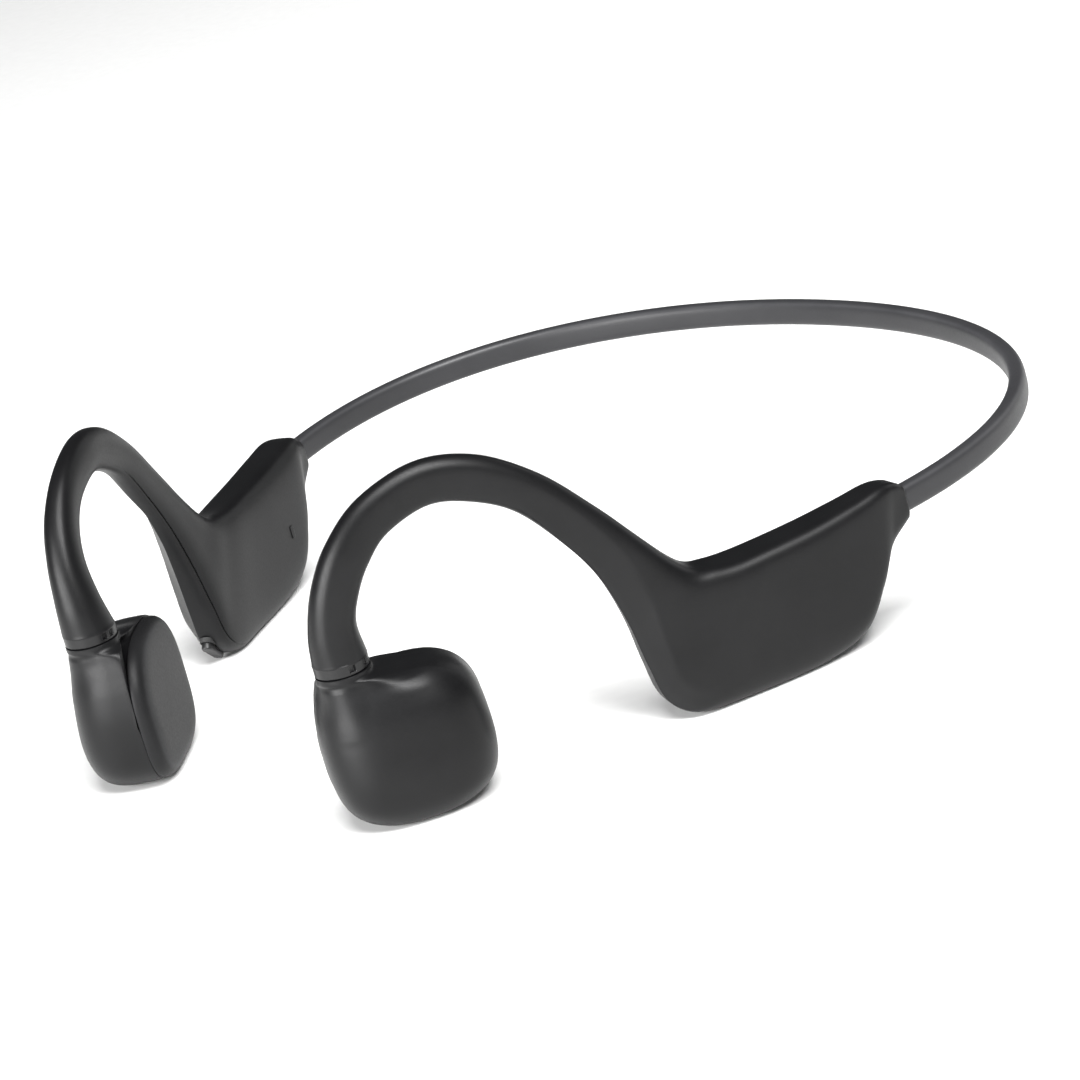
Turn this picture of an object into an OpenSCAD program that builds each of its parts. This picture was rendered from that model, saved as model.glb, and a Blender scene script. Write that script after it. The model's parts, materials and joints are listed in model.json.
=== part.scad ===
// Bone conduction headphones: two ear hooks with pods, joined by a flexible band behind the head.
// Millimetres. +Z up, +X to the wearer's left, -Y the way the wearer faces.
// Each side is drawn on a gently toed-in arc seen from above: s runs back along the arc from the
// swivel axis, w stands out from the head and z is height. The right side mirrors the left.

/* [Fit on the head] */
// Distance between the two swivel axes
swivel_gap = 54.6; // [50:0.1:66]
// Toe-in of the side at the swivel, in degrees from straight ahead
toe_front = 36; // [30:0.5:38]
// Toe-in of the side where the band leaves the pod, in degrees
toe_rear = 17; // [12:0.5:22]
// Length of one side along its arc, from swivel axis to the end of the pod
side_length = 84.6; // [80:0.1:101.6]
// Height of the top of the hook above the surface the headphones stand on
hook_height = 49; // [46:0.5:59]

/* [Ear hook] */
// Diameter of the hook where it meets the swivel collar
hook_end_d = 8; // [7.6:0.1:9.6]
// Thickness of the hook at its crown, across the head
hook_crown_t = 4.2; // [4:0.1:5]
// Diameter of the titanium wire inside hook and band
core_d = 1.2; // [1:0.1:1.5]

/* [Pod] */
// Thickness of the pod across the head
pod_t = 8.6; // [8.2:0.1:10.4]
// Wall of the pod's shell
pod_wall = 1.2; // [0.9:0.1:1.3]
// Thickness of the pod's inner cover
cover_t = 1.1; // [0.9:0.1:1.3]
// Width of the seal cord between shell and cover
seal_w = 0.6; // [0.5:0.1:0.8]

/* [Transducer] */
// Width of the transducer housing, front to back
housing_w = 24; // [23.5:0.5:28.5]
// Depth of the transducer housing, across the head
housing_t = 14; // [13.6:0.1:16.8]
// Diameter of the drive unit's chamber
chamber_d = 18.6; // [17.5:0.1:19]
// Diameter of the magnet
magnet_d = 11; // [9.5:0.1:11.4]
// Height of the swivel collar
collar_h = 1.8; // [1.5:0.1:2.2]
// Outer diameter of the hollow swivel spigot
spigot_d = 4.4; // [4:0.1:4.8]

/* [Band] */
// Height of the band's strip
band_h = 4; // [3.6:0.1:4.8]
// Thickness of the band's strip
band_t = 2.7; // [2.4:0.1:3.2]
// Distance from the end of the pods to the back of the band
band_reach = 60.6; // [50:0.1:71]
// Rise of the band from the pods to the back of the head
band_rise = 1.6; // [0:0.1:4]

/* [Controls] */
// Length of the oval power button
button_l = 5.6; // [4.6:0.1:6.8]
// How far the power button stands out of the pod
button_out = 0.8; // [0.6:0.1:1]
// Travel of each button
button_travel = 0.5; // [0.4:0.05:0.6]

/* [Hidden] */
charcoal = "#2f2f31";
deep_black = "#1c1c1e";
band_grey = "#58585a";
pad_grey = "#3c3c3e";
titanium = "#9c9a96";
steel = "#b8babd";
copper = "#b8733a";
gold = "#d9a441";
board_green = "#1f5a38";

running_gap = 0.05;
seat_gap = 0.02;
fine_fn = 48;
ring_sides = 20;
substeps = 2;
housing_sides = 28;
drawn_length = 84.6;
side_scale = side_length / drawn_length;
toe_radius = side_length / ((toe_front - toe_rear) * PI / 180);

// Outline of hook and pod: upper edge s and z, lower edge s and z, half thickness, lean outwards,
// how square the section is (2 is an ellipse), and how far its roof slopes up towards the head.
collar_z = 25.5;
drawn_height = 49;
hook_rise = (hook_height - collar_z) / (drawn_height - collar_z);
function hook_z(z) = z > collar_z ? collar_z + (z - collar_z) * hook_rise : z;
end_r = hook_end_d / 2;
crown_r = hook_crown_t / 2;
pod_r = pod_t / 2;
drawn_stations = [
    [-end_r, collar_z, end_r, collar_z, end_r, 0, 2, 0],
    [-3.3, 30, 3.7, 30, end_r - 0.7, 0.4, 2.1, 0],
    [-1.2, 36.2, 5.2, 34.2, crown_r + 0.6, 0.9, 2.2, 0],
    [2.6, 42, 7.6, 37.8, crown_r + 0.3, 0.9, 2.3, 0],
    [8.6, 46.7, 11.2, 40.8, crown_r, 0.3, 2.4, 0],
    [17.5, 49, 17.5, 42.5, crown_r, -0.4, 2.4, 0],
    [26, 47.1, 23.2, 41.1, crown_r, -0.4, 2.4, 0],
    [33.8, 41.6, 29, 37.6, crown_r + 0.1, -0.2, 2.4, 0],
    [40.2, 34.3, 34.2, 31, crown_r + 0.4, 0.1, 2.6, 0],
    [44.9, 28.1, 37.8, 24.6, crown_r + 0.9, 0.3, 2.8, 0.1],
    [48.4, 23.6, 40, 17, pod_r - 0.8, 0.2, 3, 0.3],
    [51, 21.3, 41.2, 9.5, pod_r - 0.4, 0, 3.2, 0.4],
    [54, 20.6, 42.6, 3.6, pod_r - 0.2, 0, 3.4, 0.4],
    [57.5, 20.3, 46.5, 0.5, pod_r, 0, 3.6, 0.4],
    [62, 20.4, 54, 0, pod_r, 0, 3.6, 0.3],
    [69, 20.7, 66, 0.2, pod_r, 0, 3.6, 0.2],
    [76, 21.1, 74.6, 1.8, pod_r - 0.2, 0, 3.6, 0],
    [80.6, 21.1, 78.6, 6.8, pod_r - 0.6, 0, 3.4, -0.1],
    [83.2, 20.7, 81.8, 12.2, pod_r - 1.4, 0, 3, 0],
    [drawn_length, 20, drawn_length, 14.4, pod_r - 2, 0, 2.6, 0]
];
shell_stations = [
    for (row = drawn_stations) [row[0], hook_z(row[1]), row[2], hook_z(row[3]), row[4], row[5], row[6], row[7]]
];
join_station = 10;
last_station = len(shell_stations) - 1;

// Where the band leaves the pods, and its height there.
exit_z = 17.8;

// Transducer housing: height, front and rear reach, inner and outer reach, squareness inside and out.
neck_z = collar_z - collar_h;
half_t = housing_t / 2;
front_overhang = 6;
rear = housing_w - front_overhang;
housing_stations = [
    [neck_z, -end_r, end_r, -end_r, end_r, 2, 2],
    [22.9, -4.1, 4.7, -end_r - 0.4, end_r + 0.1, 2.1, 2.1],
    [22.4, -4.3, 8.4, 1.6 - half_t, end_r + 0.2, 2.4, 2.2],
    [21.9, -4.5, 11, 0.9 - half_t, half_t - 2.6, 3.2, 2.3],
    [20.8, -4.7, rear - 4.2, 0.5 - half_t, half_t - 2.2, 5, 2.4],
    [19, -5.1, rear - 2, 0.4 - half_t, half_t - 1.7, 6.5, 2.5],
    [16, -5.6, rear - 0.5, 0.4 - half_t, half_t - 1, 7.5, 2.6],
    [12, -front_overhang, rear, 0.4 - half_t, half_t - 0.4, 8, 2.7],
    [7.5, -5.9, rear, 0.4 - half_t, half_t, 8, 2.7],
    [4, -5.2, rear - 0.8, 0.5 - half_t, half_t - 0.4, 7, 2.7],
    [1.8, -3.7, rear - 2.6, 0.8 - half_t, half_t - 1.3, 5, 2.6],
    [0.5, -1.4, rear - 5.4, 1.7 - half_t, half_t - 2.6, 3.4, 2.4],
    [0, 1.2, rear - 8.4, 3.4 - half_t, half_t - 4.6, 2.4, 2.2]
];

// The origin stands midway between the front of the housings and the back of the band.
front_reach = max([
    for (row = housing_stations) for (p = housing_ring(row, housing_sides))
        p[0] * sin(toe_front) - p[1] * cos(toe_front)
]);
middle_y = (toe_radius * (sin(toe_front) - sin(toe_rear)) + band_reach + band_t / 2 - front_reach) / 2;

// ---- curves and surfaces ----

// A value or list on the smooth curve through the rows of a table, at a fractional row number.
function spline_at(rows, t) =
    let (last = len(rows) - 1)
    let (i = min(last - 1, max(0, floor(t))))
    let (u = t - i)
    let (p1 = rows[i])
    let (p2 = rows[i + 1])
    let (p0 = i > 0 ? rows[i - 1] : 2 * p1 - p2)
    let (p3 = i + 2 <= last ? rows[i + 2] : 2 * p2 - p1)
    0.5 * (2 * p1 + u * (p2 - p0) + u * u * (2 * p0 - 5 * p1 + 4 * p2 - p3)
        + u * u * u * (3 * p1 - 3 * p2 + p3 - p0));

function signed_power(value, exponent) = sign(value) * pow(abs(value), exponent);

// From arc coordinates (outwards, along, up) to the headphones' own frame.
function toe_at(s) = toe_front + (toe_rear - toe_front) * s / side_length;
function arc_x(s) = swivel_gap / 2 + toe_radius * (cos(toe_at(s)) - cos(toe_front));
function arc_y(s) = toe_radius * (sin(toe_front) - sin(toe_at(s)));
function on_arc(w, s, z) = [
    arc_x(s) + w * cos(toe_at(s)),
    arc_y(s) - w * sin(toe_at(s)) - middle_y,
    z
];

// One point of the hook and pod section: angle 0 is the outer face, 90 the upper edge.
function section_point(row, angle, inset) =
    let (upper = [row[0] * side_scale, row[1]])
    let (lower = [row[2] * side_scale, row[3]])
    let (middle = (upper + lower) / 2)
    let (half = (upper - lower) / 2)
    let (across = signed_power(cos(angle), 2 / row[6]) * (row[4] - inset))
    let (along = signed_power(sin(angle), 2 / row[6]) * (1 - inset / norm(half)))
    let (roof = -row[7] * across / row[4] * max(0, along))
    on_arc(row[5] + across, middle[0] + half[0] * along, middle[1] + half[1] * along + roof);

// Closed polyhedron between two grids of points with the same rows and columns.
// closed_rows joins the last column to the first, as on a tube with a channel.
module thick_sheet(outer, inner, closed_rows) {
    rows = len(outer);
    columns = len(outer[0]);
    spans = closed_rows ? columns : columns - 1;
    far_side = rows * columns;
    points = concat([for (row = outer) each row], [for (row = inner) each row]);
    skins = [
        for (i = [0:rows - 2]) for (j = [0:spans - 1])
            let (a = i * columns + j)
            let (b = i * columns + (j + 1) % columns)
            each [
                [a, b + columns, a + columns],
                [a, b, b + columns],
                [far_side + a, far_side + a + columns, far_side + b + columns],
                [far_side + a, far_side + b + columns, far_side + b]
            ]
    ];
    ends = [
        for (j = [0:spans - 1])
            let (b = (j + 1) % columns)
            let (top = (rows - 1) * columns)
            each [
                [j, far_side + b, b],
                [j, far_side + j, far_side + b],
                [top + j, top + b, far_side + top + b],
                [top + j, far_side + top + b, far_side + top + j]
            ]
    ];
    edge = columns - 1;
    sides = closed_rows ? [] : [
        for (i = [0:rows - 2])
            let (a = i * columns)
            each [
                [a, a + columns, far_side + a + columns],
                [a, far_side + a + columns, far_side + a],
                [a + edge, far_side + a + edge + columns, a + edge + columns],
                [a + edge, far_side + a + edge, far_side + a + edge + columns]
            ]
    ];
    polyhedron(points, concat(skins, ends, sides));
}

// Closed polyhedron through a list of rings, with a fan at each end.
module loft(rings) {
    count = len(rings);
    sides = len(rings[0]);
    centre_first = [for (k = [0:2]) sum([for (p = rings[0]) p[k]]) / sides];
    centre_last = [for (k = [0:2]) sum([for (p = rings[count - 1]) p[k]]) / sides];
    points = concat([for (ring = rings) each ring], [centre_first, centre_last]);
    skin = [
        for (i = [0:count - 2]) for (j = [0:sides - 1])
            let (a = i * sides + j)
            let (b = i * sides + (j + 1) % sides)
            each [[a, a + sides, b + sides], [a, b + sides, b]]
    ];
    caps = [
        for (j = [0:sides - 1])
            let (b = (j + 1) % sides)
            let (top = (count - 1) * sides)
            each [[j, b, count * sides], [top + b, top + j, count * sides + 1]]
    ];
    polyhedron(points, concat(skin, caps));
}

function sum(values, i = 0) = i < len(values) ? values[i] + sum(values, i + 1) : 0;

// Round tube along a list of points, each ring square to the way the path runs there.
function tube_rings(path, radius, sides) = [
    for (i = [0:len(path) - 1])
        let (before = path[max(0, i - 1)])
        let (after = path[min(len(path) - 1, i + 1)])
        let (way = (after - before) / norm(after - before))
        let (side = cross(way, abs(way[2]) > 0.9 ? [1, 0, 0] : [0, 0, 1]))
        let (u = side / norm(side))
        let (v = cross(way, u))
        [for (j = [0:sides - 1]) path[i] + radius * (cos(360 * j / sides) * u + sin(360 * j / sides) * v)]
];

module one_side(side) {
    if (side == "left") children();
    else mirror([1, 0, 0]) children();
}

// Places children at a point of the arc: X out from the head, Y back along the side.
module arc_frame(s) {
    p = on_arc(0, s, 0);
    translate(p) rotate([0, 0, -toe_at(s)]) children();
}

// ---- band curve ----
exit_s = side_length;
exit_point = on_arc(0, exit_s, exit_z);
back_y = exit_point[1] + band_reach;
exit_handle = 37;
back_handle = 43.5;
exit_heading = toe_rear - 4;
band_handles = [
    exit_point,
    exit_point + [exit_handle * sin(exit_heading), exit_handle * cos(exit_heading), band_rise * 0.7],
    [back_handle, back_y, exit_z + band_rise],
    [0, back_y, exit_z + band_rise]
];
function bezier(p, t) =
    pow(1 - t, 3) * p[0] + 3 * pow(1 - t, 2) * t * p[1] + 3 * (1 - t) * t * t * p[2] + t * t * t * p[3];
function flip(p) = [-p[0], p[1], p[2]];
// The whole band from left pod (0) through the back (1) to right pod (2).
function band_at(t) = t <= 1 ? bezier(band_handles, t) : flip(bezier(band_handles, 2 - t));
function band_normal(t) =
    let (step = 0.01)
    let (way = band_at(min(2, t + step)) - band_at(max(0, t - step)))
    let (level = [way[1], -way[0], 0])
    level / norm(level);
band_steps = 30;
// The sleeve starts just clear of the pods' rear faces.
sleeve_start = 0.0015;

// ---- hook and pod skins ----

outer_angles = [for (j = [0:ring_sides - 1]) 360 * j / ring_sides];
function skin_row(t, angles, inset) =
    let (row = spline_at(shell_stations, t))
    [for (angle = angles) section_point(row, angle, inset)];

channel_r = core_d / 2 + 0.85;
channel_wall = 0.8;
socket_rows = 3;
module hook_skin() {
    steps = join_station * substeps;
    outer = [for (i = [0:steps]) skin_row(i / substeps, outer_angles, 0)];
    channel = [
        for (i = [0:steps])
            let (row = spline_at(shell_stations, i / substeps))
            let (r = i <= socket_rows ? spigot_d / 2 + 2 * running_gap : channel_r)
            let (slim = min(row[4] - channel_wall, r))
            let (hole = [row[0], row[1], row[2], row[3], slim, row[5], 2])
            let (half = norm([row[0] - row[2], row[1] - row[3]]) / 2)
            [for (angle = outer_angles) channel_point(hole, angle, r / half)]
    ];
    thick_sheet(outer, channel, true);
}
function channel_point(row, angle, share) =
    let (middle = [(row[0] + row[2]) / 2 * side_scale, (row[1] + row[3]) / 2])
    let (half = [(row[0] - row[2]) / 2 * side_scale, (row[1] - row[3]) / 2] * share)
    on_arc(
        row[5] + cos(angle) * row[4],
        middle[0] + half[0] * sin(angle),
        middle[1] + half[1] * sin(angle)
    );

function hook_middle(t, w_shift) =
    let (row = spline_at(shell_stations, t))
    on_arc(row[5] + w_shift, (row[0] + row[2]) / 2 * side_scale, (row[1] + row[3]) / 2);
core_start = 1.4;
core_shift = 0.42;
leads_shift = -0.66;
leads_d = 0.9;
core_steps = 26;
core_sides = 10;
leads_sides = 8;
function hook_line(w_shift) = [
    for (i = [0:core_steps])
        hook_middle(core_start + i * (join_station - core_start) / core_steps, w_shift)
];
module hook_core() {
    loft(tube_rings(hook_line(core_shift), core_d / 2, core_sides));
}
module hook_leads() {
    loft(tube_rings(hook_line(leads_shift), leads_d / 2, leads_sides));
}

// Share of the section, either side of the inner face, that belongs to the cover.
cover_half_angle = 52;
shell_span = 360 - 2 * cover_half_angle;
shell_angles = [for (j = [0:ring_sides]) -180 + cover_half_angle + j * shell_span / ring_sides];
cover_sides = 8;
cover_angles = [
    for (j = [0:cover_sides]) 180 - cover_half_angle + 2 * j * cover_half_angle / cover_sides
];
pod_steps = (last_station - join_station) * substeps;
function pod_grid(angles, inset) =
    [for (i = [0:pod_steps]) skin_row(join_station + i / substeps, angles, inset)];

module pod_shell(with_button) {
    difference() {
        union() {
            thick_sheet(pod_grid(shell_angles, 0), pod_grid(shell_angles, pod_wall), false);
            if (with_button) in_pod() board_holes() rotate([0, 90, 0]) {
                translate([0, 0, board_t / 2 + seat_gap])
                    cylinder(r = boss_r, h = pod_r - pod_wall / 2 - board_t / 2 - seat_gap, $fn = fine_fn);
            }
        }
        if (with_button) {
            button_frame() {
                button_outline(button_out + 2, -cap_depth, running_gap);
                button_outline(-pocket_top, -pocket_bottom, flange + pocket_gap);
            }
            in_pod() board_holes() rotate([0, 90, 0])
                cylinder(r = screw_r + seat_gap, h = boss_bore, $fn = fine_fn);
        }
    }
}
module pod_cover(with_ports) {
    difference() {
        thick_sheet(pod_grid(cover_angles, 0), pod_grid(cover_angles, cover_t), false);
        if (with_ports) arc_frame(slot_s) slot_prism(-pod_t, 0, 0);
        else arc_frame(charge_s) carrier_prism(-pod_t, 0, 0);
    }
}

// ---- button on the lower front corner of a pod ----
button_w = 1.8;
button_s = 43.4 * side_scale;
button_z = 2.6;
button_tilt = 40;
flange = 0.5;
// Depths below the skin on the button's own axis: foot of the cap, top of its flange, top of the
// rubber boot, and the pocket in the shell that they move in.
cap_depth = 2.2;
flange_top = 1.7;
boot_top = 1.5;
pocket_top = 1.4;
pocket_bottom = 5;
pocket_gap = 0.15;
plunger_r = 0.7;
plunger_h = 0.4;
switch_w = 2.6;
switch_h = 0.9;
module button_frame() {
    p = on_arc(0, button_s, button_z);
    translate(p) rotate([0, 0, -toe_at(button_s)]) rotate([-button_tilt, 0, 0]) children();
}
// Oval prism from so far outside the pod's skin to so far inside it.
module button_outline(outside, inside, grow) {
    run = (button_l - button_w) / 2;
    translate([0, 0, -outside]) linear_extrude(outside - inside) union() {
        translate([0, run]) circle(r = button_w / 2 + grow, $fn = fine_fn);
        translate([0, -run]) circle(r = button_w / 2 + grow, $fn = fine_fn);
        square([button_w + 2 * grow, 2 * run], center = true);
    }
}
module button_cap() {
    button_frame() {
        button_outline(button_out, -cap_depth, -running_gap);
        button_outline(-flange_top, -cap_depth, flange);
    }
}

// A thin rubber boot behind the cap, squeezed between its flange and the shell.
module button_seal() {
    button_frame() difference() {
        button_outline(-boot_top, -flange_top, flange);
        button_outline(0, -cap_depth - 1, running_gap);
    }
}
module button_dome() {
    button_frame() translate([0, 0, cap_depth + button_travel + seat_gap]) {
        cylinder(r = plunger_r, h = plunger_h, $fn = fine_fn);
        translate([-switch_w / 2, -switch_w / 2, plunger_h]) cube([switch_w, switch_w, switch_h]);
    }
}

// ---- swivel between hook and transducer ----
spigot_r = spigot_d / 2;
spigot_wall = 0.9;
spigot_bottom = 19.2;
pocket_floor = 17.5;
bush_wall = 0.8;
spigot_top = collar_z + 1.5;
groove_depth = 0.4;
clip_z = 19.6;
clip_t = 0.5;
bush_r = spigot_r + running_gap + bush_wall;
bush_bottom = clip_z + clip_t + 2 * running_gap;
window_w = 1.3;
window_h = 0.9;
window_depth = 0.55;
window_z = neck_z + (collar_h - window_h) / 2;
collar_step = 0.2;
collar_gap = 0.12;
clip_gap = 0.03;
clip_mouth = 2.4;

module swivel_collar() {
    arc_frame(0) difference() {
        translate([0, 0, neck_z + collar_gap])
            cylinder(r = end_r - collar_step, h = collar_h - collar_gap, $fn = fine_fn);
        translate([0, 0, neck_z - 1]) cylinder(r = spigot_r + seat_gap, h = collar_h + 2, $fn = fine_fn);
        for (turn = [-25, 5, 35, 125, 155, 185])
            rotate([0, 0, turn])
                translate([end_r - collar_step - window_depth, -window_w / 2, window_z])
                    cube([2, window_w, window_h]);
    }
}
module swivel_spigot() {
    arc_frame(0) difference() {
        translate([0, 0, spigot_bottom]) cylinder(r = spigot_r, h = spigot_top - spigot_bottom, $fn = fine_fn);
        translate([0, 0, spigot_bottom - 1]) cylinder(r = spigot_r - spigot_wall, h = 20, $fn = fine_fn);
        translate([0, 0, clip_z]) difference() {
            cylinder(r = spigot_r + 1, h = clip_t, $fn = fine_fn);
            translate([0, 0, -1]) cylinder(r = spigot_r - groove_depth, h = clip_t + 2, $fn = fine_fn);
        }
    }
}
// Open spring clip that keeps the spigot in its bush.
module swivel_clip() {
    arc_frame(0) translate([0, 0, clip_z + clip_gap]) difference() {
        cylinder(r = spigot_r + 0.6, h = clip_t - 2 * clip_gap, $fn = fine_fn);
        translate([0, 0, -1]) cylinder(r = spigot_r - groove_depth + seat_gap, h = 3, $fn = fine_fn);
        translate([-clip_mouth / 2, -spigot_r - 3, -1]) cube([clip_mouth, spigot_r + 3, 3]);
    }
}
module swivel_bush() {
    arc_frame(0) difference() {
        translate([0, 0, bush_bottom]) cylinder(r = bush_r, h = neck_z - bush_bottom, $fn = fine_fn);
        translate([0, 0, bush_bottom - 1]) cylinder(r = spigot_r + running_gap, h = 20, $fn = fine_fn);
    }
}

// ---- transducer housing and drive unit ----
housing_mid = housing_w / 2 - front_overhang;
chamber_z = 10.7;
chamber_r = chamber_d / 2;
rim_face = -housing_t / 2 + 1;
chamber_back = 4.6;
cup_r = magnet_d / 2 + 2.1;
screw_circle = chamber_r + 0.3;
coil_r = magnet_d / 2 + 0.4;
coil_t = 0.6;
coil_depth = 4.8;
frame_r = chamber_r - 0.1;
frame_wall = 0.8;
frame_depth = 2.8;
lug_r = 1.5;
lug_t = 0.6;
head_r = 0.8;
head_h = 0.29;
thread_r = 0.4;
screw_l = 3;

function housing_ring(row, sides) = [
    for (j = [0:sides - 1])
        let (angle = 360 * j / sides)
        let (widest = row[3] + end_r)
        let (reach = cos(angle) >= 0 ? row[4] - widest : end_r)
        let (power = cos(angle) >= 0 ? row[6] : row[5])
        [
            widest + signed_power(cos(angle), 2 / power) * reach,
            (row[1] + row[2]) / 2 + signed_power(sin(angle), 2 / power) * (row[2] - row[1]) / 2,
            row[0]
        ]
];
module housing_solid() {
    last = len(housing_stations) - 1;
    loft([
        for (i = [last * substeps:-1:0])
            housing_ring(spline_at(housing_stations, i / substeps), housing_sides)
    ]);
}
// Drum lying across the head, from one w to another, on the drive unit's axis.
module drum(from_w, to_w, r) {
    translate([from_w, housing_mid, chamber_z]) rotate([0, 90, 0])
        cylinder(r = r, h = to_w - from_w, $fn = fine_fn);
}
module transducer_housing() {
    arc_frame(0) difference() {
        housing_solid();
        translate([-20 + rim_face, -20, -5]) cube([20, 60, 40]);
        drum(rim_face - 1, chamber_back, chamber_r);
        translate([0, 0, bush_bottom]) cylinder(r = bush_r + seat_gap / 2, h = 10, $fn = fine_fn);
        translate([0, 0, pocket_floor])
            cylinder(r = spigot_r + 0.75, h = bush_bottom - pocket_floor + 0.01, $fn = fine_fn);
        screw_bore(rim_face - 1, lug_r + running_gap, lug_t + 1.05);
        screw_bore(rim_face - 1, thread_r + seat_gap, screw_l + 1.5);
    }
}
// The three screws stand clear of the neck, round the chamber's mouth.
module frame_screw_spots() {
    for (turn = [40, 220, 320])
        translate([0, housing_mid + screw_circle * cos(turn), chamber_z + screw_circle * sin(turn)]) children();
}
// A round bore, or a boss, at each screw: from one w, so wide and so long.
module screw_bore(from_w, r, length) {
    frame_screw_spots() translate([from_w, 0, 0]) rotate([0, 90, 0]) cylinder(r = r, h = length, $fn = fine_fn);
}
module drive_frame() {
    arc_frame(0) difference() {
        union() {
            drum(rim_face, rim_face + frame_depth, frame_r);
            screw_bore(rim_face, lug_r, lug_t);
        }
        drum(rim_face + lug_t, rim_face + 4, frame_r - frame_wall);
        screw_bore(rim_face - 1, thread_r + running_gap, 3);
        screw_bore(rim_face - 1, head_r + running_gap, head_h + 1.01);
    }
}
module frame_screws() {
    arc_frame(0) {
        screw_bore(rim_face + 0.01, head_r, head_h);
        screw_bore(rim_face + head_h / 2, thread_r, screw_l - head_h / 2);
    }
}
module voice_coil() {
    arc_frame(0) difference() {
        drum(rim_face + lug_t + 0.01, rim_face + coil_depth, coil_r + coil_t);
        drum(rim_face, rim_face + 2 * coil_depth, coil_r);
    }
}
plate_w = rim_face + frame_depth;
plate_t = 0.3;
slit_w = 0.4;
// Three-armed spring plate: its rim sits on the frame and its hub ring on the yoke.
module suspension() {
    arc_frame(0) difference() {
        drum(plate_w + 0.01, plate_w + 0.01 + plate_t, frame_r);
        drum(plate_w - 1, plate_w + 1, coil_r + coil_t + 0.15);
        for (turn = [0:120:240])
            translate([0, housing_mid, chamber_z]) rotate([turn, 0, 0])
                translate([plate_w - 1, (cup_r + frame_r - frame_wall - slit_w) / 2, -3]) cube([2, slit_w, 6]);
    }
}
yoke_w = plate_w + plate_t + seat_gap;
yoke_depth = 5.4;
yoke_floor = 1;
yoke_wall = 0.9;
pole_t = 0.99;
pole_set = 0.9;
module yoke() {
    arc_frame(0) difference() {
        drum(yoke_w, yoke_w + yoke_depth, cup_r);
        drum(yoke_w - 1, yoke_w + yoke_depth - yoke_floor, cup_r - yoke_wall);
    }
}
module magnet() {
    arc_frame(0) drum(yoke_w + pole_set + pole_t + 0.01, yoke_w + yoke_depth - yoke_floor - 0.01, magnet_d / 2);
}
module pole_plate() {
    arc_frame(0) drum(yoke_w + pole_set, yoke_w + pole_set + pole_t, magnet_d / 2 + running_gap);
}
pad_w = housing_w / 2 - 0.6;
pad_h = 10.4;
pad_mid_z = 11.1;
pad_sides = 32;
pad_power = 0.7;
function pad_ring(w, inset) = [
    for (j = [0:pad_sides - 1])
        [
            w,
            housing_mid + signed_power(cos(360 * j / pad_sides), pad_power) * (pad_w - inset),
            pad_mid_z + signed_power(sin(360 * j / pad_sides), pad_power) * (pad_h - inset)
        ]
];
module cheek_pad() {
    arc_frame(0) loft([
        pad_ring(rim_face - 1.3, 1.2),
        pad_ring(rim_face - 1.2, 0.5),
        pad_ring(rim_face - 0.9, 0.1),
        pad_ring(rim_face - 0.3, 0),
        pad_ring(rim_face - 0.01, 0.3)
    ]);
}

// ---- seals and plugs of the pods ----
seal_sides = 6;
seal_turn = 3;
module cover_seal() {
    path = [
        for (i = [2:pod_steps - 4])
            let (row = spline_at(shell_stations, join_station + i / substeps))
            section_point(row, 180 - cover_half_angle + seal_turn, pod_wall + seal_w / 2 + 2 * running_gap)
    ];
    loft(tube_rings(path, seal_w / 2, seal_sides));
}
// Stops the end of the pod behind the band, with a slot that its core and leads pass through.
plug_rings = 4;
plug_slot_w = 1.4;
plug_slot_h = 2.4;
plug_slot_l = 20;
module band_plug() {
    rings = [
        for (i = [plug_rings:-1:0])
            skin_row(last_station - 1 + i / plug_rings, outer_angles, pod_wall + 5 * running_gap)
    ];
    difference() {
        loft(rings);
        arc_frame(exit_s) translate([-plug_slot_w / 2, 11 - plug_slot_l, exit_z - plug_slot_h / 2])
            cube([plug_slot_w, plug_slot_l, plug_slot_h]);
    }
}

// ---- band ----
function band_ring(t, half_t, half_h, power, sides) =
    let (middle = band_at(t))
    let (n = band_normal(t))
    [
        for (j = [0:sides - 1])
            let (across = signed_power(cos(360 * j / sides), 2 / power) * half_t)
            middle + across * n + [0, 0, signed_power(sin(360 * j / sides), 2 / power) * half_h]
    ];
band_power = 3;
band_sides = 12;
band_channel_h = 2.5;
core_lift = 0.55;
leads_drop = 0.62;
band_leads_d = 0.8;
module band_sleeve() {
    steps = 2 * band_steps;
    stops = [for (i = [0:steps]) min(2 - sleeve_start, max(sleeve_start, i / band_steps))];
    outer = [for (t = stops) band_ring(t, band_t / 2, band_h / 2, band_power, band_sides)];
    channel = [
        for (t = stops) band_ring(t, core_d / 2 + 4 * seat_gap, band_channel_h / 2, band_power, band_sides)
    ];
    thick_sheet(outer, channel, true);
}
function band_line(lift) = [for (i = [0:2 * band_steps]) band_at(i / band_steps) + [0, 0, lift]];
module band_core() {
    loft(tube_rings(band_line(core_lift), core_d / 2, leads_sides));
}
module band_leads() {
    loft(tube_rings(band_line(-leads_drop), band_leads_d / 2, seal_sides));
}

// ---- electronics ----
pod_mid = 62 * side_scale;
board_t = 0.8;
board_l = 24;
board_h = 13.4;
board_z = 3.2;
board_hole_z = 15;
board_hole_spacing = 21.2;
boss_r = 1.3;
boss_bore = 2.6;
screw_r = 0.6;
screw_head_r = 1.1;
cell_t = 4.4;
cell_l = 23.6;
cell_h = 11.4;
cell_z = 4.6;
cell_clear = 0.9;
cell_face = pod_r - pod_wall - cell_clear;
foam_l = 20;
foam_h = 5.6;
foam_z = 4.2;
foam_clear = 0.48;
module in_pod() arc_frame(pod_mid) children();

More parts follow.
